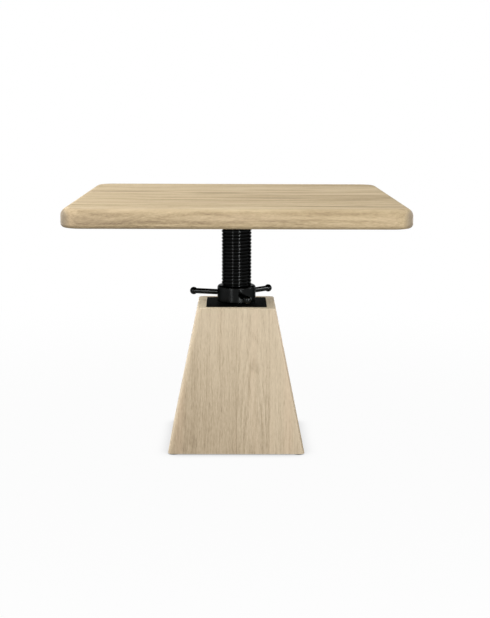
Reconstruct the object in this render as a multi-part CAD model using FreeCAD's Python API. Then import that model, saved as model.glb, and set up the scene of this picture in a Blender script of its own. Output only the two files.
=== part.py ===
import FreeCAD, Part
import math
import os

from FreeCAD import Vector

# Telescoping pedestal table. A square oak top stands on a lifting screw, a nut with three handle bars
# raises and lowers it, and the base is a hollow oak pyramid with its point cut off.
# Millimetres, Z up, X to the right, Y away from the front. The origin is on the floor under the screw.

# Table top, edge-glued from boards that run along X
top_width = 914.0
top_thickness = 52.0
top_corner_radius = 60.0
top_edge_radius = 22.0
top_under_radius = 11.0
top_seam_shares = [0.148, 0.285, 0.443, 0.602, 0.737, 0.866]

# Battens that keep the top flat
batten_length = 520.0
batten_width = 60.0
batten_height = 20.0
batten_bevel = 12.0
batten_place_share = 0.33
batten_screw_count = 3

# Steel plate under the top
top_plate_width = 300.0
top_plate_thickness = 8.0
top_plate_corner_radius = 20.0
top_plate_screw_inset = 22.0

# Lifting screw, a thick tube with a right-hand trapezoidal thread
thread_diameter = 87.0
thread_pitch = 10.0
thread_depth = 2.5
thread_root_share = 0.26
thread_crest_share = 0.46
thread_clearance = 0.4
thread_end_chamfer = 2.0
thread_relief = 8.0
thread_relief_depth = 0.5
thread_spare = 5.0
thread_core_share = 0.6
screw_bore = 60.0
screw_showing = 203.0
closed_gap = 13.0

# Handle nut and its three bars
nut_wall = 12.75
nut_height = 49.0
nut_top_round = 8.0
nut_under_round = 3.0
bar_count = 3
bar_first_angle = 43.7
bar_diameter = 16.0
bar_ball_diameter = 22.5
bar_reach = 132.0
bar_seat_depth = 7.0
bar_fit = 0.15

# Thrust ring between nut and plate
ring_thickness = 3.0
ring_setback = 4.0

# Flange plate, let into the top of the base
plate_thickness = 6.0
plate_proud = 1.0
plate_corner_radius = 6.0
plate_edge_round = 0.8
plate_seat = 25.0
plate_fit = 0.3
plate_hole_clearance = 0.6
plate_screw_inset = 12.5
plate_screw_spread_share = 0.74

# Square tube and block that keep the screw from turning
tube_bore_clearance = 1.0
tube_wall = 5.0
tube_corner_radius = 8.0
block_height = 45.0
block_clearance = 0.4
block_spigot_fit = 0.1
block_floor_gap = 10.0
block_stop_gap = 2.0
pin_diameter = 12.0
pin_setback = 3.0
pin_fit = 0.1

# Base, four mitred panels of three staves each
base_height = 406.0
base_spread = 82.5
panel_thickness = 50.0
well_clearance = 13.0
base_corner_round = 15.0
base_rim_round = 2.0
stave_seam_shares = [0.5, 0.737]
side_names = ["front", "right", "back", "left"]

# Bottom board and felt pads
board_thickness = 18.0
board_recess = 6.0
board_rabbet = 15.0
board_fit = 0.5
board_screw_spread_share = 0.55
pad_diameter = 28.0
pad_thickness = 3.0

# Wood screws
wood_screw_diameter = 5.0
wood_screw_bite = 30.0
wood_screw_head_diameter = 10.0
wood_screw_head_height = 3.0
wood_screw_clearance = 0.1

# Cuts run past the faces that they open by this much
overrun = 2.0
# Edges are matched to a level within this
match = 0.001

# Heights, from the floor up
base_floor = pad_thickness
base_top = base_floor + base_height
plate_top = base_top + plate_proud
plate_under = plate_top - plate_thickness
nut_under = plate_top + ring_thickness
nut_top = nut_under + nut_height
top_plate_under = nut_top + screw_showing
top_under = top_plate_under + top_plate_thickness
top_surface = top_under + top_thickness
board_under = base_floor + board_recess
board_top = board_under + board_thickness

# Travel, set by the gap over the nut below and by the length of the base above
lift_down = screw_showing - closed_gap
block_under = board_top + block_floor_gap + lift_down
block_top = block_under + block_height
lift_up = plate_under - block_stop_gap - block_top
thread_under = nut_under - lift_up - thread_spare
thread_top = top_plate_under - thread_relief

# Widths, from the screw outwards
crest_radius = thread_diameter / 2
root_radius = crest_radius - thread_depth
plain_radius = root_radius - thread_relief_depth
bore_radius = screw_bore / 2
hole_radius = crest_radius + plate_hole_clearance
nut_radius = crest_radius + nut_wall
bar_level = (nut_under + nut_top) / 2
tube_bore = thread_diameter + 2 * tube_bore_clearance
tube_width = tube_bore + 2 * tube_wall
block_width = tube_bore - 2 * block_clearance
well_width = tube_width + 2 * well_clearance
plate_width = well_width + 2 * plate_seat
base_top_width = well_width + 2 * panel_thickness
base_bottom_width = base_top_width + 2 * base_spread
rabbet_width = base_bottom_width - 2 * panel_thickness + 2 * board_rabbet

up = Vector(0, 0, 1)
origin = Vector(0, 0, 0)


def cylinder(radius, bottom, top):
    return Part.makeCylinder(radius, top - bottom, Vector(0, 0, bottom))


def block(x_size, y_size, bottom, top):
    corner = Vector(-x_size / 2, -y_size / 2, bottom)
    return Part.makeBox(x_size, y_size, top - bottom, corner)


def upright_edges(shape):
    # edges that run the whole height of the shape
    whole = shape.BoundBox.ZLength - match
    return [edge for edge in shape.Edges if edge.BoundBox.ZLength > whole]


def level_edges(shape, level):
    boxes = [(edge, edge.BoundBox) for edge in shape.Edges]
    return [edge for edge, box in boxes if abs(box.ZMin - level) < match and abs(box.ZMax - level) < match]


def rounded_block(width, radius, bottom, top):
    shape = block(width, width, bottom, top)
    return shape.makeFillet(radius, upright_edges(shape))


def frustum(bottom_width, top_width, bottom, top):
    low = bottom_width / 2
    high = top_width / 2
    wedge = Part.makeWedge(-low, 0, -low, -high, -high, low, top - bottom, low, high, high)
    wedge.rotate(origin, Vector(1, 0, 0), 90)
    wedge.translate(Vector(0, 0, bottom))
    return wedge


def turned(points):
    # a solid turned about Z from an outline of (radius, height) points
    outline = Part.makePolygon([Vector(radius, 0, height) for radius, height in points + points[:1]])
    return Part.Face(outline).revolve(origin, up, 360)


def spots(shape, places):
    # copies of a shape, one at each (x, y)
    copies = []
    for x, y in places:
        spot = shape.copy()
        spot.translate(Vector(x, y, 0))
        copies.append(spot)
    return copies


def wood_screw(grown, through):
    # countersunk, head up, with its flat top at zero and its shank below
    shank = wood_screw_diameter / 2 + grown
    head = wood_screw_head_diameter / 2 + grown
    neck = -wood_screw_head_height
    end = -through - wood_screw_bite - grown
    return turned([(0, end), (shank, end), (shank, neck), (head, 0), (0, 0)])


def screw_and_hole(through, level, head_up):
    # a wood screw, and the same shape a little larger for the hole that it sits in
    pair = []
    for grown in (0, wood_screw_clearance):
        shape = wood_screw(grown, through)
        if not head_up:
            shape.rotate(origin, Vector(1, 0, 0), 180)
        shape.translate(Vector(0, 0, level))
        pair.append(shape)
    return pair


def rail(radius, level):
    # one turn of a right-hand helix
    helix = Part.makeHelix(thread_pitch, thread_pitch, radius)
    helix.translate(Vector(0, 0, level))
    return helix.Edges[0]


def thread_coil(gap, bottom, top):
    # The thread as a helical bar, whose turns meet, from bottom to top, all its flanks moved out by gap.
    # Its turns are counted from the lower end of the screw's thread, so that nut and screw are in step.
    inner = bore_radius * thread_core_share
    root = root_radius + gap
    crest = crest_radius + gap
    root_run = thread_root_share * thread_pitch
    crest_run = thread_crest_share * thread_pitch
    flank_run = (thread_pitch - root_run - crest_run) / 2
    rise = root_run + flank_run
    outline = [(root, gap), (root, root_run - gap), (crest, rise - gap), (crest, rise + crest_run + gap)]
    outline.append((root, thread_pitch + gap))
    first = math.floor((bottom - thread_under) / thread_pitch) - 2
    last = math.ceil((top - thread_under) / thread_pitch) + 1
    faces = []
    for turn in range(first, last):
        level = thread_under + turn * thread_pitch
        rails = [rail(radius, level + height) for radius, height in outline]
        rails.append(rail(inner, level + thread_pitch + gap))
        rails.insert(0, rail(inner, level + gap))
        faces += [Part.makeRuledSurface(low, high) for low, high in zip(rails[1:-2], rails[2:-1])]
        faces.append(Part.makeRuledSurface(rails[0], rails[-1]))
        if turn == first:
            faces.append(Part.makeRuledSurface(rails[0], rails[1]))
        if turn == last - 1:
            faces.append(Part.makeRuledSurface(rails[-1], rails[-2]))
    for turn in (first, last):
        level = thread_under + turn * thread_pitch
        ends = [Vector(radius, 0, level + height) for radius, height in outline]
        ends.insert(0, Vector(inner, 0, level + gap))
        ends.append(Vector(inner, 0, level + thread_pitch + gap))
        faces.append(Part.Face(Part.makePolygon(ends + ends[:1])))
    shell = Part.makeShell([face.Faces[0] for face in faces])
    shell.sewShape()
    return Part.makeSolid(shell)


def lifting_screw():
    side = crest_radius + overrun
    cut = thread_end_chamfer + overrun
    trim = turned([
        (0, thread_under), (side - cut, thread_under), (side, thread_under + cut),
        (side, thread_top - cut), (side - cut, thread_top), (0, thread_top),
    ])
    reach = 2 * thread_pitch + overrun
    bore = cylinder(bore_radius, block_under - reach, top_plate_under + reach)
    thread = thread_coil(0, thread_under, thread_top).cut(bore).common(trim)
    spigot = cylinder(plain_radius, block_under, thread_under).cut(bore)
    neck = cylinder(plain_radius, thread_top, top_plate_under).cut(bore)
    return thread.fuse([spigot, neck]).cut(pin_hole())


def cross_pin(radius, length):
    start = Vector(-length / 2, 0, (block_under + block_top) / 2)
    return Part.makeCylinder(radius, length, start, Vector(1, 0, 0))


def guide_pin():
    return cross_pin(pin_diameter / 2, block_width - 2 * pin_setback)


def pin_hole():
    return cross_pin(pin_diameter / 2 + pin_fit, block_width + 2 * overrun)


def guide_block():
    radius = tube_corner_radius - tube_wall + block_clearance
    shape = rounded_block(block_width, radius, block_under, block_top)
    bore = cylinder(plain_radius + block_spigot_fit, block_under - overrun, block_top + overrun)
    return shape.cut([bore, pin_hole()])


def guide_tube():
    inner_radius = tube_corner_radius - tube_wall
    outside = rounded_block(tube_width, tube_corner_radius, board_top, plate_under)
    return outside.cut(rounded_block(tube_bore, inner_radius, board_top - overrun, plate_under + overrun))


def bar_angles():
    return [bar_first_angle + 360.0 * turn / bar_count for turn in range(bar_count)]


def handle_nut():
    nut = cylinder(nut_radius, nut_under, nut_top)
    nut = nut.makeFillet(nut_top_round, level_edges(nut, nut_top))
    nut = nut.makeFillet(nut_under_round, level_edges(nut, nut_under))
    bore = thread_coil(thread_clearance, nut_under, nut_top)
    core = cylinder(root_radius - overrun, nut_under - overrun, nut_top + overrun)
    nut = nut.cut(core).cut(bore)
    seats = []
    for angle in bar_angles():
        floor = Vector(nut_radius - bar_seat_depth, 0, bar_level)
        seat = Part.makeCylinder(bar_diameter / 2 + bar_fit, bar_seat_depth + overrun, floor, Vector(1, 0, 0))
        seat.rotate(origin, up, angle)
        seats.append(seat)
    return nut.cut(seats)


def handle_bar(angle):
    # a turned bar with a ball at its outer end, its inner end flat on the bottom of its hole
    start = nut_radius - bar_seat_depth
    bar = Part.makeCylinder(bar_diameter / 2, bar_reach - start, Vector(start, 0, bar_level), Vector(1, 0, 0))
    bar = bar.fuse(Part.makeSphere(bar_ball_diameter / 2, Vector(bar_reach, 0, bar_level)))
    bar.rotate(origin, up, angle)
    return bar


def thrust_ring():
    outside = cylinder(nut_radius - ring_setback, plate_top, nut_under)
    return outside.cut(cylinder(hole_radius, plate_top - overrun, nut_under + overrun))


def four_places(far, near):
    return [(x, y) for x in (-far, far) for y in (-near, near)]


def plate_screw_places():
    far = plate_width / 2 - plate_screw_inset
    return four_places(far, far * plate_screw_spread_share)


def flange_plate(holes):
    plate = rounded_block(plate_width, plate_corner_radius, plate_under, plate_top)
    plate = plate.makeFillet(plate_edge_round, level_edges(plate, plate_top))
    plate = plate.cut(cylinder(hole_radius, plate_under - overrun, plate_top + overrun))
    return plate.cut(holes)


def base_shell(plate_holes, board_holes):
    # the whole hollow base, before it is parted into panels and staves
    shell = frustum(base_bottom_width, base_top_width, base_floor, base_top)
    shell = shell.makeFillet(base_corner_round, upright_edges(shell))
    shell = shell.makeFillet(base_rim_round, level_edges(shell, base_top))
    slope = base_spread / base_height * overrun
    inside_low = base_bottom_width - 2 * panel_thickness + 2 * slope
    inside_high = base_top_width - 2 * panel_thickness - 2 * slope
    shell = shell.cut(frustum(inside_low, inside_high, base_floor - overrun, base_top + overrun))
    recess_width = plate_width + 2 * plate_fit
    recess = rounded_block(recess_width, plate_corner_radius + plate_fit, plate_under, base_top + overrun)
    rabbet = block(rabbet_width, rabbet_width, base_floor - overrun, board_top)
    return shell.cut([recess, rabbet] + plate_holes + board_holes)


def stave_cell(side, left_share, right_share):
    # the space of one stave: a slice of the triangle, seen from above, that the mitres leave to its panel
    half = base_bottom_width / 2 + overrun
    corners = [Vector(0, 0, 0), Vector(-half, -half, 0), Vector(half, -half, 0), Vector(0, 0, 0)]
    panel = Part.Face(Part.makePolygon(corners)).extrude(up * (base_top + overrun))
    left = (left_share * 2 - 1) * half
    right = (right_share * 2 - 1) * half
    cell = panel.common(Part.makeBox(right - left, half, base_top + overrun, Vector(left, -half, 0)))
    cell.rotate(origin, up, 90.0 * side)
    return cell


def bottom_board(holes):
    width = rabbet_width - 2 * board_fit
    return block(width, width, board_under, board_top).cut(holes)


def board_screw_places():
    far = (rabbet_width - board_rabbet) / 2
    return four_places(far, far * board_screw_spread_share)


def felt_pads():
    place = (base_bottom_width + rabbet_width) / 4
    return spots(cylinder(pad_diameter / 2, 0, pad_thickness), four_places(place, place))


def top_plate_screw_places():
    far = top_plate_width / 2 - top_plate_screw_inset
    return [(x, y) for x in (-far, 0, far) for y in (-far, 0, far) if x or y]


def top_plate(holes):
    plate = rounded_block(top_plate_width, top_plate_corner_radius, top_plate_under, top_under)
    return plate.cut(holes)


def batten(side, holes):
    # a bar across the boards, with the lower corners of its ends cut off
    half = batten_length / 2
    low = top_under - batten_height
    outline = [
        (-half, top_under), (-half, low + batten_bevel), (-half + batten_bevel, low),
        (half - batten_bevel, low), (half, low + batten_bevel), (half, top_under),
    ]
    points = [Vector(-batten_width / 2, y, z) for y, z in outline + outline[:1]]
    bar = Part.Face(Part.makePolygon(points)).extrude(Vector(batten_width, 0, 0))
    bar.translate(Vector(side * batten_place_share * top_width, 0, 0))
    return bar.cut(holes)


def batten_screw_places():
    step = batten_length / batten_screw_count
    rows = [(row + 1 / 2) * step - batten_length / 2 for row in range(batten_screw_count)]
    return [(side * batten_place_share * top_width, y) for side in (-1, 1) for y in rows]


def top_boards(holes):
    slab = rounded_block(top_width, top_corner_radius, top_under, top_surface)
    slab = slab.makeFillet(top_edge_radius, level_edges(slab, top_surface))
    slab = slab.makeFillet(top_under_radius, level_edges(slab, top_under))
    slab = slab.cut(holes)
    shares = [0] + top_seam_shares + [1]
    boards = []
    for near, far in zip(shares, shares[1:]):
        start = Vector(-top_width / 2 - overrun, (near - 1 / 2) * top_width, top_under - overrun)
        depth = (far - near) * top_width
        space = Part.makeBox(top_width + 2 * overrun, depth, top_thickness + 2 * overrun, start)
        boards.append(slab.common(space))
    return boards


def build():
    nodes = {}

    plate_screw, plate_hole = screw_and_hole(plate_thickness, plate_top, True)
    plate_holes = spots(plate_hole, plate_screw_places())
    board_screw, board_hole = screw_and_hole(board_thickness, board_under, False)
    board_holes = spots(board_hole, board_screw_places())
    shell = base_shell(plate_holes, board_holes)
    shares = [0] + stave_seam_shares + [1]
    for side, name in enumerate(side_names):
        for number, (left, right) in enumerate(zip(shares, shares[1:]), 1):
            nodes["base_%s_stave_%d" % (name, number)] = shell.common(stave_cell(side, left, right))
    nodes["bottom_board"] = bottom_board(board_holes)
    nodes["bottom_board_screws"] = Part.makeCompound(spots(board_screw, board_screw_places()))
    nodes["felt_pads"] = Part.makeCompound(felt_pads())

    nodes["flange_plate"] = flange_plate(plate_holes)
    nodes["flange_plate_screws"] = Part.makeCompound(spots(plate_screw, plate_screw_places()))
    nodes["guide_tube"] = guide_tube()
    nodes["thrust_ring"] = thrust_ring()

    nodes["handle_nut"] = handle_nut()
    for number, angle in enumerate(bar_angles(), 1):
        nodes["handle_bar_%d" % number] = handle_bar(angle)

    nodes["lifting_screw"] = lifting_screw()
    nodes["guide_block"] = guide_block()
    nodes["guide_pin"] = guide_pin()
    top_screw, top_hole = screw_and_hole(top_plate_thickness, top_plate_under, False)
    top_holes = spots(top_hole, top_plate_screw_places())
    batten_screw, batten_hole = screw_and_hole(batten_height, top_under - batten_height, False)
    batten_holes = spots(batten_hole, batten_screw_places())
    nodes["top_plate"] = top_plate(top_holes)
    nodes["top_plate_screws"] = Part.makeCompound(spots(top_screw, top_plate_screw_places()))
    for side, name in ((-1, "left"), (1, "right")):
        nodes["batten_" + name] = batten(side, batten_holes)
    nodes["batten_screws"] = Part.makeCompound(spots(batten_screw, batten_screw_places()))
    for number, board in enumerate(top_boards(top_holes + batten_holes), 1):
        nodes["top_board_%d" % number] = board
    return nodes


os.makedirs("parts", exist_ok=True)
for name, shape in build().items():
    shape.exportStep("parts/%s.step" % name)
    print(name, shape.isValid(), len(shape.Solids), round(shape.Volume))
print("travel up %.1f, travel down %.1f" % (lift_up, lift_down))
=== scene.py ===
import math
from dataclasses import dataclass

import bmesh
import bpy
from mathutils import Matrix, Vector


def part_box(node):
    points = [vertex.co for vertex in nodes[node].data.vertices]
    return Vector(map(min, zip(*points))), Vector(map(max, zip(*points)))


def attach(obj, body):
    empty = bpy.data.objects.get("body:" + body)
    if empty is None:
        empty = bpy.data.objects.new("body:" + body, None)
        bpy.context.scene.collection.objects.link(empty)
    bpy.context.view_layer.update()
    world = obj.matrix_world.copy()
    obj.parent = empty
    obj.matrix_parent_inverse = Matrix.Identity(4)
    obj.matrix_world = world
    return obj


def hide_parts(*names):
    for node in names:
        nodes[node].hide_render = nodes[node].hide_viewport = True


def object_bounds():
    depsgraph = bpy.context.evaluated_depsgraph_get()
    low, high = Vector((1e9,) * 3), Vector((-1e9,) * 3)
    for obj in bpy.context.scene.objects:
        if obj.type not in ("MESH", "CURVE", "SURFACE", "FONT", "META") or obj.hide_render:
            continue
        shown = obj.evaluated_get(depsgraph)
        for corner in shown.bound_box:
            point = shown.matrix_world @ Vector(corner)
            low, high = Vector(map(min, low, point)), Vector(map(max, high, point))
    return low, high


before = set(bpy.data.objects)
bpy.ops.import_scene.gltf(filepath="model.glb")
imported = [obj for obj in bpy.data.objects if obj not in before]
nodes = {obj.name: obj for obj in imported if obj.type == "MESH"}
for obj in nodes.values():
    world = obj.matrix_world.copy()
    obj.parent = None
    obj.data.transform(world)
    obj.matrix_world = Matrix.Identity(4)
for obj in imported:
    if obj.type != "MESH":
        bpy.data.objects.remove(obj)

# Looks of a telescoping pedestal table: pale oak top and base, black lifting screw, nut and plate.
# Metres, in the frame of the solids: Z up, X to the right, Y away from the front.

cad_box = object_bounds()
scene = bpy.context.scene
axis_x = (1.0, 0.0, 0.0)
axis_y = (0.0, 1.0, 0.0)
axis_z = (0.0, 0.0, 1.0)
down = (0.0, 0.0, -1.0)

# Camera, at the height and angle of the photograph, with its lens and sensor in millimetres
camera_place = Vector((-0.00894, -3.6135, 1.0171))
camera_yaw = math.radians(0.542)
camera_pitch = math.radians(-9.868)
camera_roll = math.radians(0.216)
camera_lens = 72.44
camera_sensor = 36.0

# Base, whose panels lean in towards the top, and the places of the glue lines across a panel
base_height = 0.406
base_inset = 0.0825
base_lean = math.atan2(base_inset, base_height)
panel_names = ("front", "right", "back", "left")
stave_seams = [corner.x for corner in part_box("base_front_stave_2")]
extra_seams = {"left": [-0.053]}

# Seams closer to the outside of the top than this are its own edge
rim = 0.01

# Glue lines: the distances from the middle where a line starts to fade and ends, and how dark it is
seam_line = (0.0002, 0.0011)
seam_dark = 0.20
mitre_line = (0.0003, 0.0014)
mitre_dark = 0.26

# Lifting screw, threaded from a start above its foot to a relief under its top
thread_pitch = 0.010
thread_depth = 0.0025
thread_root_share = 0.26
thread_crest_share = 0.46
thread_round = 0.0008
thread_chamfer = 0.002
thread_relief = 0.008
thread_relief_depth = 0.0005
thread_start = 0.278
screw_bore = 0.060
turn_steps = 96
arc_steps = 4

# Turns made past both ends of the thread, where it is then cut off
spare_turns = 2

# Points closer than this are one point, with a little more room after a cut
weld = 1e-7
cut_weld = 1e-6

# Wood screws, whose recesses are turned by so many radians per metre of their place in X and Y
screw_head_radius = 0.005
screw_head_height = 0.003
screw_shank_radius = 0.0025
screw_tip_radius = 0.0004
screw_tip = 0.004
screw_lobes = 6
screw_turn = Vector((70.0, 110.0))
screw_steps = 48

# Head of a wood screw, from the middle of its lobed recess to its rim: radius, lobe, depth
screw_head = [
    (0.0003, 0.0, 0.0021),
    (0.0012, 0.0002, 0.0019),
    (0.0019, 0.00036, 0.0017),
    (0.0020, 0.00038, 0.0002),
    (0.0022, 0.00038, 0.0),
    (0.0044, 0.0, 0.0),
    (0.0048, 0.0, 0.0001),
    (screw_head_radius, 0.0, 0.0004),
]

# Felt pads, with the waves of their frayed edge and how these shift with place and height
pad_radius = 0.014
pad_centre = 0.002
pad_round = 0.0009
pad_eased = 0.3 * pad_round
pad_steps = 72
fray_depth = 0.00011
fray_coarse = 9
fray_fine = 23
fray_place_shift = 90
fray_height_shift = 3000

# Oak colours of the base and of the top, from the dark of a pore to the palest late wood
oak_colours = (
    (0.19, 0.140, 0.091, 1.0),
    (0.43, 0.340, 0.230, 1.0),
    (0.59, 0.486, 0.346, 1.0),
    (0.745, 0.632, 0.469, 1.0),
)
top_colours = (
    (0.19, 0.135, 0.078, 1.0),
    (0.43, 0.328, 0.194, 1.0),
    (0.60, 0.476, 0.297, 1.0),
    (0.71, 0.582, 0.386, 1.0),
)

# Middle tone, the tones where the four colours stand, and a blush that they have in places
oak_tone = 0.62
oak_stops = (0.0, 0.34, oak_tone, 1.0)
oak_blush = (0.64, 0.480, 0.335, 1.0)

# End grain: its colours on the base and the top, partly painted light that makes the base's top paler
# where the table top shades it and painted shade that darkens the ends of the top, its share there, and
# how dark its pores are
pale_end_and_painted_light = (1.0, 0.86, 0.63, 1.0)
dark_end_and_painted_shade = (0.29, 0.238, 0.174, 1.0)
end_share = 0.9
end_pore_share = 0.66

# Cosines of the angle to an axis of the grain, between which a face comes to be end grain, a narrow
# side, the face inside the log and a flat face, and a rounded edge comes to an end
end_facing = (0.42, 0.86)
edge_facing = (0.5, 0.95)
under_facing = (0.0, 0.6)
flat_facing = (0.80, 0.98)
round_facing = (0.72, 0.96)
round_end_facing = (0.25, 0.5)

# Layers of oak grain: waves per metre along and across the grain, detail, and shift of the seed
oak_layers = {
    "drift": (2.4, 6.0, 2.0, 0.0),
    "ripple": (11.0, 34.0, 2.0, 3.1),
    "broad": (0.9, 8.0, 2.0, 7.7),
    "bands": (2.2, 52.0, 3.0, 12.9),
    "lines": (9.0, 210.0, 3.0, 15.1),
    "fibres": (12.0, 620.0, 3.0, 17.3),
    "strokes": (22.0, 280.0, 2.0, 19.4),
    "flecks": (85.0, 430.0, 2.0, 21.6),
    "dashes": (42.0, 1250.0, 1.0, 23.8),
    "ticks": (150.0, 900.0, 1.0, 27.2),
    "slopes": (5.0, 85.0, 2.0, 29.4),
    "tint": (1.3, 15.0, 1.0, 31.0),
    "specks": (60.0, 900.0, 2.0, 35.5),
}

# How far the pith line wanders across and deep, the rings ripple and the streaks wander, and the
# share of a streak that is its core
pith_wander = (0.030, -0.024)
ring_ripple = 0.010
streak_wander = 0.02
streak_core_share = 0.1

# Black metal: shades of paint, an oxide's shades per unit of shine, painted shade that darkens the
# thread's root, and the tint of what is reflected at a low angle
paint_shades = ((0.0016, 0.0018, 0.0019, 1.0), (0.0034, 0.0037, 0.0037, 1.0))
oxide_shades = ((0.78, 0.82, 0.82, 1.0), (1.16, 1.22, 1.22, 1.0))
root_painted_shade = (0.0052, 0.0052, 0.0050, 1.0)
grazing_tint = (0.44, 0.44, 0.44, 1.0)

# Bare steel, zinc, plywood and felt, the last two from dark to pale
steel_grey = (0.46, 0.46, 0.47, 1.0)
zinc_grey = (0.66, 0.65, 0.60, 1.0)
dull_share = 0.72
plies = 11
ply_colours = ((0.36, 0.24, 0.13, 1.0), (0.76, 0.62, 0.43, 1.0))
felt_colours = ((0.045, 0.038, 0.030, 1.0), (0.16, 0.14, 0.115, 1.0))

# Studio: the floor's reach and the grey that it lights the table with, the painted shadow and dark line
# of shade under the foot, the shadow round it, and the world as a light
white = (1.0, 1.0, 1.0, 1.0)
floor_reach = 30.0
floor_grey = (0.09, 0.09, 0.09, 1.0)
contact_reach = 0.05
contact_glow = 0.45
shadow_reach = (0.5, 2.5)
shadow_glow = 0.97
world_light = 0.13


def scaled(colour, share):
    """A colour with its three parts times a share."""
    return tuple(share * part for part in colour[:3]) + (1.0,)


class Finish:
    """A material, with short calls for the nodes that the finishes below are made of."""

    def __init__(self, name):
        self.material = bpy.data.materials.new(name)
        self.material.use_nodes = True
        self.tree = self.material.node_tree
        self.shader = self.tree.nodes["Principled BSDF"]
        coordinates = self.tree.nodes.new("ShaderNodeTexCoord")
        self.place = coordinates.outputs["Object"]
        self.normal = coordinates.outputs["Normal"]

    def put(self, socket, value):
        """Links a socket, or sets a number or colour on it."""
        if isinstance(value, bpy.types.NodeSocket):
            self.tree.links.new(value, socket)
        else:
            socket.default_value = value

    def set(self, name, value):
        self.put(self.shader.inputs[name], value)

    def math(self, operation, first, second=0.0):
        node = self.tree.nodes.new("ShaderNodeMath")
        node.operation = operation
        self.put(node.inputs[0], first)
        self.put(node.inputs[1], second)
        return node.outputs[0]

    def times(self, first, second):
        return self.math("MULTIPLY", first, second)

    def minus(self, first, second):
        return self.math("SUBTRACT", first, second)

    def distance(self, first, second):
        return self.math("ABSOLUTE", self.minus(first, second))

    def vector(self, operation, first, second=(0.0, 0.0, 0.0)):
        node = self.tree.nodes.new("ShaderNodeVectorMath")
        node.operation = operation
        self.put(node.inputs[0], first)
        self.put(node.inputs[1], second)
        return node.outputs["Value" if operation in ("DOT_PRODUCT", "LENGTH") else "Vector"]

    def dot(self, first, second):
        return self.vector("DOT_PRODUCT", first, second)

    def combine(self, x, y, z):
        node = self.tree.nodes.new("ShaderNodeCombineXYZ")
        for socket, value in zip(node.inputs, (x, y, z)):
            self.put(socket, value)
        return node.outputs[0]

    def noise(self, where, waves, detail=2.0, shift=0.0):
        """Noise from 0 to 1, about a half, with its own number of waves per metre along each axis."""
        shifted = self.vector("ADD", where, (shift, shift, shift))
        node = self.tree.nodes.new("ShaderNodeTexNoise")
        self.put(node.inputs["Vector"], self.vector("MULTIPLY", shifted, waves))
        node.inputs["Scale"].default_value = 1.0
        node.inputs["Detail"].default_value = detail
        return node.outputs["Fac"]

    def chance(self, value):
        """A number from 0 to 1 that is another one for each value."""
        node = self.tree.nodes.new("ShaderNodeTexWhiteNoise")
        node.noise_dimensions = "1D"
        self.put(node.inputs["W"], value)
        return node.outputs["Value"]

    def smooth(self, value, low, high, to_low=0.0, to_high=1.0):
        """A soft step between two results, as a value goes from low to high."""
        node = self.tree.nodes.new("ShaderNodeMapRange")
        node.interpolation_type = "SMOOTHSTEP"
        settings = (value, low, high, to_low, to_high)
        for name, setting in zip(("Value", "From Min", "From Max", "To Min", "To Max"), settings):
            self.put(node.inputs[name], setting)
        return node.outputs[0]

    def fade(self, value, low, high):
        return self.smooth(value, low, high, 1.0, 0.0)

    def ramp(self, value, stops, colours):
        node = self.tree.nodes.new("ShaderNodeValToRGB")
        elements = node.color_ramp.elements
        while len(elements) < len(stops):
            elements.new(1.0)
        for element, stop, colour in zip(elements, stops, colours):
            element.position = stop
            element.color = colour
        self.put(node.inputs["Fac"], value)
        return node.outputs["Color"]

    def mix(self, share, first, second):
        node = self.tree.nodes.new("ShaderNodeMix")
        node.data_type = "RGBA"
        self.put(node.inputs["Factor"], share)
        self.put(node.inputs["A"], first)
        self.put(node.inputs["B"], second)
        return node.outputs["Result"]

    def sum(self, start, parts):
        """A start plus each value times its weight."""
        total = start
        for value, weight in parts:
            total = self.math("ADD", total, self.times(value, weight))
        return total

    def bump(self, height, distance):
        node = self.tree.nodes.new("ShaderNodeBump")
        node.inputs["Strength"].default_value = 1.0
        node.inputs["Distance"].default_value = distance
        self.put(node.inputs["Height"], height)
        self.set("Normal", node.outputs["Normal"])


@dataclass
class Log:
    """Where a board was cut from a log, and how it looks."""

    # where the pith line passes, across and deep, and how far it leans per metre of grain
    pith: tuple
    lean: tuple
    # growth of a year, and strength of the rings
    ring: float
    figure: float = 1.0
    # lifts or lowers the tone all over, and per metre of grain as painted light: the base panels paler
    # towards the top, the front top board paler to the right and the other top boards darker to the
    # right
    light: float = 0.0
    fade: float = 0.0
    # strength of the bands on the flat faces, and elsewhere
    contrast: float = 1.0
    edge_contrast: float = 1.0
    # slope and curve of the grain into the wood
    bow: tuple = (0.0, 0.0)
    # slope of the ticks on the narrow sides, and their share near and far along the grain
    slant: float = 0.0
    flecked: tuple = (0.5, 0.5)
    # how far painted shade darkens the narrow sides and the face inside the log, the underside of the
    # top boards, and a painted highlight makes rounded edges paler
    edge_painted_shade: float = 0.0
    under_painted_shade: float = 0.0
    round_painted_highlight: float = 0.0
    # dark bands: middle along, across and deep, length, width, thickness and share
    streaks: tuple = ()
    # colours at the tones of oak_stops, and of the end grain, which is partly painted light on the base
    # and painted shade on the top
    colours: tuple = oak_colours
    end: tuple = pale_end_and_painted_light


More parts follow.
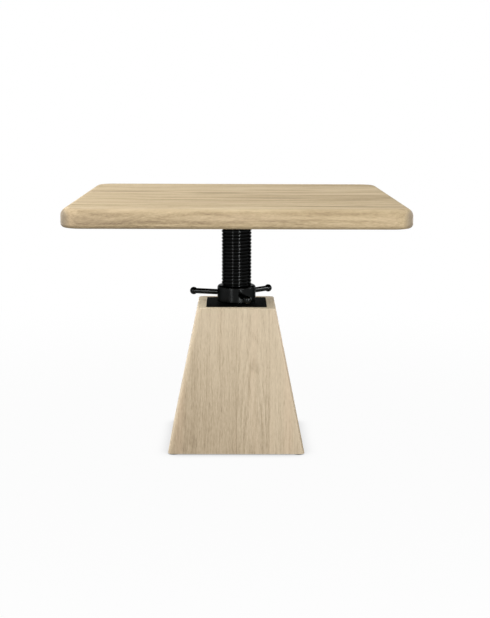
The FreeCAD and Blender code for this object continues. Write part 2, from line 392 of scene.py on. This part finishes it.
class Oak(Finish):
    """Solid oak: rings about a pith line, strokes, pores, fibres, glue lines and its own end grain.

    axes are the directions along the grain, across the face and into the wood.
    """

    def __init__(self, name, axes, log, seed):
        super().__init__(name)
        self.log = log
        self.seed = seed
        self.along, self.across, self.straight = (self.dot(self.place, axis) for axis in axes)
        curve = self.math("POWER", self.along, 2.0)
        self.deep = self.sum(self.straight, [(self.along, log.bow[0]), (curve, log.bow[1])])
        self.grain = self.combine(self.along, self.across, self.deep)

        facing = [self.math("ABSOLUTE", self.dot(self.normal, axis)) for axis in axes]
        self.end = self.smooth(facing[0], *end_facing)
        self.edge = self.smooth(facing[1], *edge_facing)
        # the face inside the log, the underside of the top boards, where shade is painted
        self.under = self.smooth(self.dot(self.normal, axes[2]), *under_facing)
        self.contrast = self.smooth(facing[2], *flat_facing, log.edge_contrast, log.contrast)
        # rounded edges, where a highlight is painted
        self.turned = self.times(self.fade(facing[2], *round_facing),
                                 self.fade(facing[0], *round_end_facing))

        self.drift = self.swing("drift")
        self.lines = self.layer("lines")
        self.fibres = self.layer("fibres")
        self.strokes = self.smooth(self.layer("strokes"), 0.54, 0.74)
        self.early = self.early_wood()
        porous = self.smooth(self.early, 0.0, 0.7, 0.45, 1.0)
        self.pores = self.times(self.smooth(self.layer("dashes"), 0.56, 0.70), porous)

    def layer(self, kind, where=None):
        """One of the layers of grain, from 0 to 1."""
        along, across, detail, shift = oak_layers[kind]
        place = self.grain if where is None else where
        return self.noise(place, (along, across, across), detail, self.seed + shift)

    def swing(self, kind, where=None):
        """One of the layers of grain, about 0."""
        return self.minus(self.layer(kind, where), 0.5)

    def early_wood(self):
        """The porous start of each year's ring, stronger in some years than in others."""
        log = self.log
        squares = []
        for place, pith, lean, wander in zip((self.across, self.deep), log.pith, log.lean, pith_wander):
            away = self.sum(self.minus(place, pith), [(self.along, -lean), (self.drift, wander)])
            squares.append(self.math("POWER", away, 2.0))
        radius = self.math("SQRT", self.math("ADD", *squares))
        rippled = self.sum(radius, [(self.swing("ripple"), ring_ripple)])
        years = self.math("DIVIDE", rippled, log.ring)
        season = self.math("FRACT", years)
        early = self.times(self.smooth(season, 0.0, 0.16), self.fade(season, 0.2, 0.75))
        strong = self.smooth(self.chance(self.math("FLOOR", years)), 0.0, 1.0, 0.15, 1.0)
        return self.times(early, strong)

    def plain_tone(self):
        """The tone of the wood, from the dark of a pore at 0 to the palest at 1."""
        log = self.log
        slanted = self.combine(self.along, self.across, self.sum(self.deep, [(self.along, log.slant)]))
        flecked = self.times(self.edge, self.smooth(self.along, -0.1, 0.2, *log.flecked))
        waves = self.sum(0.0, [
            (self.swing("broad"), 0.22),
            (self.swing("bands"), 0.42),
            (self.minus(self.lines, 0.5), 0.34),
        ])
        return self.sum(oak_tone + log.light, [
            # painted light along the grain
            (self.along, log.fade),
            (self.times(waves, self.contrast), 1.0),
            (self.swing("flecks"), 0.40),
            (self.times(self.swing("ticks", slanted), flecked), 0.45),
            (self.times(self.swing("slopes", slanted), flecked), 0.42),
            (self.minus(self.fibres, 0.5), 0.20),
            (self.strokes, -0.13),
            (self.times(self.strokes, self.edge), 0.08),
            (self.early, -0.09 * log.figure),
            (self.pores, -0.16),
            # painted shade on the narrow sides and the underside, and a painted highlight on rounded
            # edges
            (self.edge, -log.edge_painted_shade),
            (self.under, -log.under_painted_shade),
            (self.turned, log.round_painted_highlight),
        ])

    def glued(self, tone, seams, mitred):
        """A tone with dark lines at places across and, on a mitred panel, at its corners."""
        lines = [(self.distance(self.across, place), seam_line, seam_dark) for place in seams]
        if mitred:
            plan = [self.math("ABSOLUTE", self.dot(self.place, axis)) for axis in (axis_x, axis_y)]
            lines.append((self.distance(*plan), mitre_line, mitre_dark))
        for away, (whole, gone), dark in lines:
            tone = self.sum(tone, [(self.fade(away, whole, gone), -dark)])
        return tone

    def streaked(self, tone):
        """A tone with the log's dark bands, broken up by the lines of the grain."""
        places = (self.along, self.across, self.straight)
        for *middle, length, width, thickness, share in self.log.streaks:
            reach = 1.0
            for place, centre, size in zip(places, middle, (length, width, thickness)):
                off = self.sum(self.minus(place, centre), [(self.drift, streak_wander)])
                near = self.fade(self.math("ABSOLUTE", off), streak_core_share * size, size / 2)
                reach = self.times(reach, near)
            band = self.smooth(self.sum(self.lines, [(reach, 0.16)]), 0.46, 0.66, 0.1, 1.35)
            tone = self.sum(tone, [(self.times(band, reach), -share)])
        return tone

    def surface(self, tone):
        """Colour, end grain, roughness and relief of the wood."""
        log = self.log
        colour = self.ramp(tone, oak_stops, log.colours)
        colour = self.mix(self.smooth(self.layer("tint"), 0.48, 0.72, 0.0, 0.3), colour, oak_blush)
        specks = self.smooth(self.layer("specks"), 0.50, 0.68)
        # end grain darker on the underside: painted shade
        opened = self.sum(0.0, [(self.early, 0.55), (specks, 0.35), (self.under, 2.0 * log.under_painted_shade)])
        cut_grain = self.mix(opened, log.end, scaled(log.end, end_pore_share))
        self.set("Base Color", self.mix(self.times(self.end, end_share), colour, cut_grain))
        self.set("Roughness", self.smooth(tone, 0.2, 0.9, 0.76, 0.64))
        self.set("Specular IOR Level", 0.16)
        relief = [(self.pores, -1.0), (self.fibres, 0.35), (self.early, -0.3), (self.strokes, -0.4)]
        self.bump(self.sum(0.0, relief), distance=0.00022)


def oak(name, axes, log, seed, seams=(), mitred=False):
    """The oak of one piece, with glue lines at places across it and at its mitred corners."""
    wood = Oak(name, axes, log, seed)
    wood.surface(wood.streaked(wood.glued(wood.plain_tone(), seams, mitred)))
    return wood.material


def black_metal(name, rough, shades):
    """A finish with a fine orange peel and faint rub marks, and a cloudy colour between two shades."""
    steel = Finish(name)
    peel = steel.noise(steel.place, (900.0, 900.0, 900.0))
    cloud = steel.noise(steel.place, (38.0, 38.0, 38.0), detail=3.0, shift=4.0)
    rubs = steel.noise(steel.place, (260.0, 260.0, 900.0), shift=9.0)
    steel.set("Roughness", steel.sum(rough - 0.09, [(cloud, 0.12), (rubs, 0.06)]))
    steel.bump(peel, distance=0.00004)
    return steel, steel.ramp(cloud, (0.30, 0.72), shades)


def black_paint(name, rough, gloss):
    """Black painted steel."""
    steel, colour = black_metal(name, rough, paint_shades)
    steel.set("Base Color", colour)
    steel.set("Specular IOR Level", gloss)
    return steel.material


def black_oxide(name, rough, shine, crest=None):
    """Blackened bare steel that reflects little, with painted shade on a thread below its crest."""
    steel, colour = black_metal(name, rough, [scaled(shade, shine) for shade in oxide_shades])
    if crest:
        # the thread's root reflects less than its crest: painted shade
        out = steel.vector("LENGTH", steel.vector("MULTIPLY", steel.place, (1.0, 1.0, 0.0)))
        shaded_root = steel.fade(out, crest - thread_depth, crest - thread_round)
        colour = steel.mix(shaded_root, colour, root_painted_shade)
    steel.set("Base Color", colour)
    steel.set("Metallic", 1.0)
    steel.set("Specular Tint", grazing_tint)
    return steel.material


def bare_steel(name, colour, rough):
    """Drawn or plated steel with fine lines along Z."""
    steel = Finish(name)
    lines = steel.noise(steel.place, (1400.0, 1400.0, 30.0))
    cloud = steel.noise(steel.place, (30.0, 30.0, 12.0), detail=3.0, shift=5.0)
    steel.set("Base Color", steel.mix(cloud, scaled(colour, dull_share), colour))
    steel.set("Metallic", 1.0)
    steel.set("Roughness", steel.sum(rough, [(lines, 0.14), (cloud, 0.08)]))
    steel.bump(lines, distance=0.00003)
    return steel.material


def plywood(name, under, thickness):
    """Birch plywood: pale rotary-cut faces, and edges with plies that cross in turn."""
    ply = Finish(name)
    along, across, height = (ply.dot(ply.place, axis) for axis in (axis_x, axis_y, axis_z))
    wave = ply.noise(ply.place, (2.0, 14.0, 14.0), detail=3.0)
    bent = ply.combine(along, ply.sum(across, [(wave, 0.05)]), height)
    figure = ply.noise(bent, (3.0, 120.0, 20.0), detail=3.0, shift=2.0)
    layer = ply.math("DIVIDE", ply.minus(height, under), thickness / plies)
    crossed = ply.smooth(ply.math("PINGPONG", layer, 1.0), 0.42, 0.58)
    fleck = ply.noise(ply.place, (160.0, 160.0, 1500.0), shift=6.0)
    edge = ply.fade(ply.math("ABSOLUTE", ply.dot(ply.normal, axis_z)), 0.3, 0.7)
    tone = ply.sum(0.5, [
        (ply.minus(figure, 0.5), 0.9),
        (ply.times(edge, crossed), -0.45),
        (ply.minus(fleck, 0.5), 0.2),
    ])
    ply.set("Base Color", ply.ramp(tone, (0.0, 1.0), ply_colours))
    ply.set("Roughness", 0.62)
    ply.set("Specular IOR Level", 0.25)
    ply.bump(figure, distance=0.0002)
    return ply.material


def felt(name):
    """Pressed grey-brown felt with matted fibres."""
    cloth = Finish(name)
    mat = cloth.noise(cloth.place, (900.0, 900.0, 900.0), detail=4.0)
    clump = cloth.noise(cloth.place, (180.0, 180.0, 180.0), shift=3.0)
    tone = cloth.sum(0.0, [(mat, 0.7), (clump, 0.3)])
    cloth.set("Base Color", cloth.ramp(tone, (0.3, 0.7), felt_colours))
    cloth.set("Roughness", 0.95)
    cloth.set("Specular IOR Level", 0.1)
    cloth.set("Sheen Weight", 0.25)
    cloth.bump(mat, distance=0.0006)
    return cloth.material


def dress(node, material):
    """Gives a solid its finish."""
    mesh = nodes[node].data
    mesh.materials.clear()
    mesh.materials.append(material)


def add_piece(name, mesh, body, material, stands_for):
    """A modelled piece that rides on a body and stands for a plainer solid."""
    piece = bpy.data.objects.new(name, mesh)
    scene.collection.objects.link(piece)
    mesh.materials.append(material)
    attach(piece, body)
    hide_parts(stands_for)


def skin(mesh, loops):
    """Joins each loop of points to the next, and closes the first and the last."""
    rows = [[mesh.verts.new(point) for point in loop] for loop in loops]
    for first, second in zip(rows, rows[1:]):
        for step in range(len(first)):
            following = (step + 1) % len(first)
            mesh.faces.new((first[step], first[following], second[following], second[step]))
    mesh.faces.new(rows[0])
    mesh.faces.new(rows[-1])


def finished(mesh, name, sharp_degrees):
    """A mesh with smooth faces, apart from edges sharper than an angle."""
    bmesh.ops.remove_doubles(mesh, verts=mesh.verts, dist=weld)
    bmesh.ops.recalc_face_normals(mesh, faces=mesh.faces)
    for face in mesh.faces:
        face.smooth = True
    for edge in mesh.edges:
        edge.smooth = edge.is_manifold and edge.calc_face_angle(0.0) < math.radians(sharp_degrees)
    data = bpy.data.meshes.new(name)
    mesh.to_mesh(data)
    mesh.free()
    return data


def rounded(corner, before, after, radius):
    """Points of an arc that rounds the corner between two straight runs of an outline."""
    into = (before - corner).normalized()
    out = (after - corner).normalized()
    half = into.angle(out) / 2
    reach = radius / math.tan(half)
    centre = corner + (into + out).normalized() * (radius / math.sin(half))
    start = corner + into * reach - centre
    turn = start.angle_signed(corner + out * reach - centre)
    steps = range(arc_steps + 1)
    return [centre + Matrix.Rotation(-turn * step / arc_steps, 2) @ start for step in steps]


def thread_outline(crest):
    """One pitch of the thread as (radius, height), rounded where flanks meet root and crest."""
    root = crest - thread_depth
    root_run = thread_root_share * thread_pitch
    crest_run = thread_crest_share * thread_pitch
    flank_run = (thread_pitch - root_run - crest_run) / 2
    heights = [0.0, root_run, root_run + flank_run, root_run + flank_run + crest_run, thread_pitch]
    corners = [Vector(pair) for pair in zip((root, root, crest, crest, root), heights)]
    pitch = Vector((0.0, thread_pitch))
    around = [corners[-2] - pitch] + corners + [corners[1] + pitch]
    points = []
    for before, corner, after in zip(around, around[1:-2], around[2:]):
        points += rounded(corner, before, after, thread_round)
    return points


def wind_thread(mesh, crest, plain, top):
    """A helical thread from its start to the top, chamfered down to the plain radius at both ends."""
    outline = thread_outline(crest)
    turns = math.ceil((top - thread_start) / thread_pitch) + spare_turns
    rows = []
    for turn in range(-spare_turns, turns):
        for point in outline:
            row = []
            for step in range(turn_steps):
                share = step / turn_steps
                height = thread_start + (turn + share) * thread_pitch + point.y
                chamfer = min(height - thread_start, top - height) + crest - thread_chamfer
                radius = max(min(point.x, chamfer), plain)
                angle = share * math.tau
                row.append(mesh.verts.new((radius * math.cos(angle), radius * math.sin(angle), height)))
            rows.append(row)
    one_turn = len(outline)
    for index, (lower, upper) in enumerate(zip(rows, rows[1:])):
        for step in range(turn_steps - 1):
            mesh.faces.new((lower[step], lower[step + 1], upper[step + 1], upper[step]))
        if index >= one_turn:
            before = index - one_turn
            mesh.faces.new((rows[before][-1], lower[0], upper[0], rows[before + 1][-1]))
    for level, side in ((thread_start, down), (top, axis_z)):
        parts = mesh.verts[:] + mesh.edges[:] + mesh.faces[:]
        place = (0.0, 0.0, level)
        bmesh.ops.bisect_plane(mesh, geom=parts, plane_co=place, plane_no=side, clear_outer=True)
    bmesh.ops.remove_doubles(mesh, verts=mesh.verts, dist=cut_weld)


def screw_mesh():
    """The lifting screw: helical thread with eased edges, plain neck and foot, bored through."""
    low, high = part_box("lifting_screw")
    crest = high.x
    plain = crest - thread_depth - thread_relief_depth
    top = high.z - thread_relief
    mesh = bmesh.new()
    wind_thread(mesh, crest, plain, top)
    rims = []
    for level, limit in ((thread_start, low.z), (top, high.z)):
        edges = [edge for edge in mesh.edges if edge.is_boundary
                 and all(abs(vert.co.z - level) < cut_weld for vert in edge.verts)]
        for radius, height in ((plain, level), (plain, limit), (screw_bore / 2, limit)):
            made = bmesh.ops.extrude_edge_only(mesh, edges=edges)["geom"]
            edges = [part for part in made if isinstance(part, bmesh.types.BMEdge)]
            for vert in {vert for edge in edges for vert in edge.verts}:
                flat = vert.co.to_2d().normalized() * radius
                vert.co = (flat.x, flat.y, height)
        rims += edges
    bmesh.ops.bridge_loops(mesh, edges=rims)
    return finished(mesh, "lifting_screw_body", sharp_degrees=32.0)


def screw_places(node, across, along):
    """Centres of screws that stand in rows in a node's box, with none in the very middle."""
    low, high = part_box(node)
    spans = []
    for start, stop, count in ((low.x, high.x, across), (low.y, high.y, along)):
        first = start + screw_head_radius
        step = (stop - start - 2 * screw_head_radius) / (count - 1)
        spans.append([first + step * index for index in range(count)])
    middle = (low + high).to_2d() / 2
    places = [Vector((x, y)) for x in spans[0] for y in spans[1]]
    return [place for place in places if (place - middle).length > screw_head_radius]


def screw_group(node, body, slot, material, across, along, head_up):
    """Countersunk wood screws with a six-lobed recess, which stand for a group of plain ones."""
    low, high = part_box(node)
    face = high.z if head_up else low.z
    inward = -1.0 if head_up else 1.0
    length = high.z - low.z
    shank = [
        (screw_shank_radius, 0.0, screw_head_height),
        (screw_shank_radius, 0.0, length - screw_tip),
        (screw_tip_radius, 0.0, length),
    ]
    mesh = bmesh.new()
    for place in screw_places(node, across, along):
        twist = place.dot(screw_turn)
        loops = []
        for radius, lobe, depth in screw_head + shank:
            loop = []
            for step in range(screw_steps):
                angle = math.tau * step / screw_steps
                reach = radius + lobe * math.cos(screw_lobes * angle)
                spot = place + Matrix.Rotation(angle + twist, 2) @ Vector((reach, 0.0))
                loop.append((spot.x, spot.y, face + inward * depth))
            loops.append(loop)
        skin(mesh, loops)
    heads = finished(mesh, node + "_heads", sharp_degrees=35.0)
    add_piece(node + "_heads", heads, body, material, node)


def pad_loops(x, y, height):
    """Rings of points of one felt pad, from the middle of its underside to the middle of its top."""
    outline = [
        (pad_centre, 0.0),
        (pad_radius - pad_round, 0.0),
        (pad_radius - pad_eased, pad_eased),
        (pad_radius, pad_round),
        (pad_radius, height - pad_round),
        (pad_radius - pad_eased, height - pad_eased),
        (pad_radius - pad_round, height),
        (pad_centre, height),
    ]
    loops = []
    for reach, level in outline:
        loop = []
        for step in range(pad_steps):
            angle = math.tau * step / pad_steps
            coarse = math.sin(fray_coarse * angle + fray_place_shift * x)
            fine = math.sin(fray_fine * angle + fray_height_shift * level)
            out = reach - fray_depth * abs(coarse + fine)
            loop.append((x + out * math.cos(angle), y + out * math.sin(angle), level))
        loops.append(loop)
    return loops


def pad_group(material):
    """Felt pads with soft rims, a little uneven round the edge."""
    low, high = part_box("felt_pads")
    mesh = bmesh.new()
    for x in (low.x + pad_radius, high.x - pad_radius):
        for y in (low.y + pad_radius, high.y - pad_radius):
            skin(mesh, pad_loops(x, y, high.z - low.z))
    discs = finished(mesh, "felt_discs", sharp_degrees=40.0)
    add_piece("felt_discs", discs, "base", material, "felt_pads")


def dress_top():
    """Seven boards with the grain along X, each from another part of the log."""
    # pith across from the board's middle and deep, lean across and deep, ring, light, fade as painted
    # light, and seed
    cuts = [
        (0.020, -0.640, 0.03, 0.070, 0.0056, 0.005, 0.20, 11.0),
        (-0.050, -0.700, -0.02, 0.030, 0.0067, 0.010, -0.10, 25.0),
        (0.040, -0.830, 0.02, -0.030, 0.0076, 0.000, -0.08, 36.0),
        (-0.015, -0.610, -0.03, 0.025, 0.0070, 0.000, -0.06, 47.0),
        (0.060, -0.660, 0.02, 0.015, 0.0065, -0.010, -0.08, 58.0),
        (-0.030, -0.820, 0.03, -0.020, 0.0073, -0.010, -0.06, 69.0),
        (0.025, -0.640, -0.02, 0.025, 0.0069, -0.020, -0.06, 80.0),
    ]
    # along, across, deep, length, width, thickness and share of the dark bands, by board
    streaks = {
        1: [
            (0.34, -0.374, -0.720, 0.64, 0.040, 0.06, 0.33),
            (-0.18, -0.457, -0.691, 0.90, 0.08, 0.017, 0.16),
            (0.24, -0.457, -0.693, 0.60, 0.08, 0.014, 0.12),
            (0.32, -0.440, -0.715, 0.60, 0.06, 0.040, 0.12),
        ],
        3: [(0.06, -0.108, -0.720, 0.46, 0.060, 0.06, 0.38)],
        4: [
            (-0.06, 0.068, -0.720, 0.36, 0.042, 0.06, 0.39),
            (0.15, 0.075, -0.720, 0.30, 0.040, 0.06, 0.26),
            (0.34, 0.015, -0.720, 0.44, 0.170, 0.06, 0.06),
        ],
        5: [
            (-0.33, 0.125, -0.720, 0.40, 0.048, 0.06, 0.46),
            (0.14, 0.178, -0.720, 0.36, 0.045, 0.06, 0.30),
        ],
    }
    for number, (across, deep, lean_across, lean_deep, ring, light, fade, seed) in enumerate(cuts, 1):
        name = "top_board_%d" % number
        low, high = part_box(name)
        seams = [line for line in (low.y, high.y) if cad_box[0].y + rim < line < cad_box[1].y - rim]
        pith = ((low.y + high.y) / 2 + across, deep)
        # the narrow sides and the underside of each board are darkened as painted shade
        log = Log(pith, (lean_across, lean_deep), ring, light=light, fade=fade, contrast=2.8,
                  edge_painted_shade=0.18, under_painted_shade=0.16, streaks=streaks.get(number, ()),
                  colours=top_colours, end=dark_end_and_painted_shade)
        # the front edge shows the grain of the first board bowed, with slanted ticks
        if number == 1:
            log.bow = (0.02, -0.05)
            log.slant = 0.25
            log.flecked = (0.90, 0.40)
        dress(name, oak("oak_" + name, (axis_x, axis_y, down), log, seed, seams))


def dress_base():
    """Twelve staves with the grain up the slope of their panel."""
    # pith across and deep, lean across and deep, ring, light and figure
    cuts = [
        (-0.550, -0.100, 0.010, -0.010, 0.0082, -0.150, 0.6),
        (0.046, -0.150, 0.000, 0.034, 0.0075, -0.105, 1.2),
        (0.600, -0.050, -0.010, 0.015, 0.0078, -0.045, 0.5),
    ]
    # along, across, deep, length, width, thickness and share of the dark bands, by stave
    streaks = {1: [(0.10, -0.16, -0.19, 0.70, 0.24, 1.0, 0.11)]}
    # how the pith and the seed differ from panel to panel and from stave to stave
    pith_step = (0.013, 0.010)
    first_seed = 40.0
    stave_seed = 9.0
    panel_seed = 31.0
    up = Vector((0.0, math.sin(base_lean), math.cos(base_lean)))
    inward = Vector((0.0, math.cos(base_lean), -math.sin(base_lean)))
    for side, panel in enumerate(panel_names):
        turn = Matrix.Rotation(side * math.pi / 2, 3, "Z")
        axes = [tuple(turn @ axis) for axis in (up, Vector(axis_x), inward)]
        seams = stave_seams + extra_seams.get(panel, [])
        for number, (across, deep, lean_across, lean_deep, ring, light, figure) in enumerate(cuts, 1):
            name = "base_%s_stave_%d" % (panel, number)
            pith = (across + pith_step[0] * side, deep + pith_step[1] * side)
            # the fade along the grain is painted light, paler towards the top of each panel, and the
            # rounded corners get a painted highlight
            log = Log(pith, (lean_across, lean_deep), ring, figure=figure, light=light, fade=0.72,
                      contrast=0.72, edge_contrast=0.72, round_painted_highlight=0.20,
                      streaks=streaks.get(number, ()))
            seed = first_seed + stave_seed * number + panel_seed * side
            dress(name, oak("oak_" + name, axes, log, seed, seams, mitred=True))


def dress_battens():
    """Two battens with the grain along Y."""
    pith_across = 0.03
    pith_deep = -0.55
    seeds = {"batten_left": 200.0, "batten_right": 217.0}
    for name, seed in seeds.items():
        low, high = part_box(name)
        pith = ((low.x + high.x) / 2 + pith_across, pith_deep)
        log = Log(pith, lean=(0.02, 0.03), ring=0.0045, light=-0.03)
        dress(name, oak("oak_" + name, (axis_y, axis_x, down), log, seed))


def dress_metal():
    """Black bars, nut, screw and plates, bare steel guide, black and zinc-plated wood screws."""
    bright = black_oxide("black_polish", rough=0.13, shine=0.015)
    for node in ("handle_bar_1", "handle_bar_2", "handle_bar_3"):
        dress(node, bright)
    dress("handle_nut", black_oxide("black_satin", rough=0.26, shine=0.011))
    matt = black_paint("black_matt", rough=0.65, gloss=0.005)
    for node in ("flange_plate", "top_plate", "thrust_ring"):
        dress(node, matt)
    bare = bare_steel("bare_steel", steel_grey, rough=0.30)
    for node in ("guide_tube", "guide_block", "guide_pin"):
        dress(node, bare)
    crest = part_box("lifting_screw")[1].x
    thread = black_oxide("black_thread", rough=0.15, shine=0.0088, crest=crest)
    zinc = bare_steel("zinc_plate", zinc_grey, rough=0.26)
    add_piece("lifting_screw_body", screw_mesh(), "lift", thread, "lifting_screw")
    # node, body, slot and finish of the wood screws, rows in X and in Y, and whether the heads are above
    groups = [
        ("flange_plate_screws", "base", "black_steel", matt, 2, 2, True),
        ("top_plate_screws", "lift", "black_steel", matt, 3, 3, False),
        ("batten_screws", "lift", "zinc_screws", zinc, 2, 3, False),
        ("bottom_board_screws", "base", "zinc_screws", zinc, 2, 2, False),
    ]
    for group in groups:
        screw_group(*group)


def dress_foot():
    """The board under the base, and its pads."""
    low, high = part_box("bottom_board")
    dress("bottom_board", plywood("birch_plywood", low.z, high.z - low.z))
    pad_group(felt("pressed_felt"))


def seen_rays(tree):
    """1 for the rays by which the camera, gloss and glass see the studio, and 0 for light."""
    rays = tree.nodes.new("ShaderNodeLightPath")
    seen = rays.outputs["Is Camera Ray"]
    for name in ("Is Glossy Ray", "Is Transmission Ray"):
        either = tree.nodes.new("ShaderNodeMath")
        either.operation = "MAXIMUM"
        tree.links.new(seen, either.inputs[0])
        tree.links.new(rays.outputs[name], either.inputs[1])
        seen = either.outputs[0]
    return seen


def floor_finish():
    """White where it is seen, with a soft shadow near the table, mostly painted, and a painted dark line
    of shade under its foot.
    """
    finish = Finish("white_floor")
    finish.set("Base Color", floor_grey)
    finish.set("Roughness", 0.9)
    finish.set("Specular IOR Level", 0.0)
    tree = finish.tree
    corner = tree.nodes.new("ShaderNodeAmbientOcclusion")
    corner.inputs["Distance"].default_value = contact_reach
    glow = tree.nodes.new("ShaderNodeEmission")
    # the glow dims where the table occludes the floor: a painted shadow and dark line of shade
    finish.put(glow.inputs["Strength"], finish.smooth(corner.outputs["AO"], 0.0, 1.0, contact_glow, 1.0))
    share = finish.smooth(finish.vector("LENGTH", finish.place), *shadow_reach, shadow_glow, 1.0)
    blend = tree.nodes.new("ShaderNodeMixShader")
    finish.put(blend.inputs["Fac"], finish.times(seen_rays(tree), share))
    finish.put(blend.inputs[1], finish.shader.outputs[0])
    finish.put(blend.inputs[2], glow.outputs[0])
    finish.put(tree.nodes["Material Output"].inputs["Surface"], blend.outputs[0])
    return finish.material


def add_floor():
    """A wide floor at the height of the pads' undersides."""
    mesh = bpy.data.meshes.new("floor")
    corners = [(-1, -1), (1, -1), (1, 1), (-1, 1)]
    mesh.from_pydata([(floor_reach * x, floor_reach * y, 0.0) for x, y in corners], [], [(0, 1, 2, 3)])
    floor = bpy.data.objects.new("floor", mesh)
    scene.collection.objects.link(floor)
    mesh.materials.append(floor_finish())


def add_world():
    """White where the camera or a reflection sees it, softer as a light."""
    world = bpy.data.worlds.new("studio")
    scene.world = world
    world.use_nodes = True
    tree = world.node_tree
    sky = tree.nodes["Background"]
    strength = tree.nodes.new("ShaderNodeMapRange")
    strength.inputs["To Min"].default_value = world_light
    strength.inputs["To Max"].default_value = 1.0
    tree.links.new(seen_rays(tree), strength.inputs["Value"])
    sky.inputs["Color"].default_value = white
    tree.links.new(strength.outputs[0], sky.inputs["Strength"])


def add_lamp(name, place, target, wide, tall, power, glossy):
    """A soft rectangular lamp that points at a target, and shows in reflections if glossy."""
    data = bpy.data.lights.new(name, "AREA")
    data.shape = "RECTANGLE"
    data.size = wide
    data.size_y = tall
    data.energy = power
    lamp = bpy.data.objects.new(name, data)
    lamp.visible_glossy = glossy
    lamp.location = place
    lamp.rotation_mode = "QUATERNION"
    lamp.rotation_quaternion = (Vector(target) - Vector(place)).to_track_quat("-Z", "Y")
    scene.collection.objects.link(lamp)


def add_lamps():
    """Two low strips in front for lines of light on the metal, and soft panels round about."""
    table = (0.0, -0.1, 0.45)
    screw = (0.0, 0.0, 0.5)
    top = (0.0, 0.0, 0.72)
    # name, place, target, width, height, power in watts, and whether reflections show it
    lamps = [
        ("strip_left", (-1.20, -2.08, 0.24), screw, 0.16, 0.46, 4.9, True),
        ("strip_right", (0.90, -2.23, 0.24), screw, 0.16, 0.46, 12.4, True),
        ("front_left", (-2.35, -3.40, 2.15), table, 0.8, 1.2, 69.0, True),
        ("front_right", (2.40, -3.40, 2.05), table, 0.8, 1.2, 76.0, True),
        ("side_left", (-3.60, 0.20, 2.40), table, 1.0, 1.4, 112.0, False),
        ("side_right", (3.36, 0.24, 1.88), table, 0.5, 1.0, 31.0, True),
        ("panel_above", (-1.3, 0.2, 3.0), top, 2.0, 2.0, 18.0, True),
        ("back_left", (-2.70, 3.00, 0.66), table, 1.0, 1.2, 57.0, True),
        ("back_right", (2.70, 3.00, 0.66), table, 1.0, 1.2, 51.0, True),
    ]
    for lamp in lamps:
        add_lamp(*lamp)


def add_camera():
    """The camera, turned by its yaw, pitch and roll from a level view along Y."""
    data = bpy.data.cameras.new("camera")
    data.sensor_width = camera_sensor
    data.lens = camera_lens
    camera = bpy.data.objects.new("camera", data)
    turn = Matrix.Rotation(-camera_yaw, 4, "Z") @ Matrix.Rotation(math.pi / 2 + camera_pitch, 4, "X")
    camera.matrix_world = Matrix.Translation(camera_place) @ turn @ Matrix.Rotation(camera_roll, 4, "Z")
    scene.collection.objects.link(camera)
    scene.camera = camera


dress_top()
dress_base()
dress_battens()
dress_metal()
dress_foot()
add_floor()
add_world()
add_lamps()
add_camera()
scene.view_settings.view_transform = "Standard"
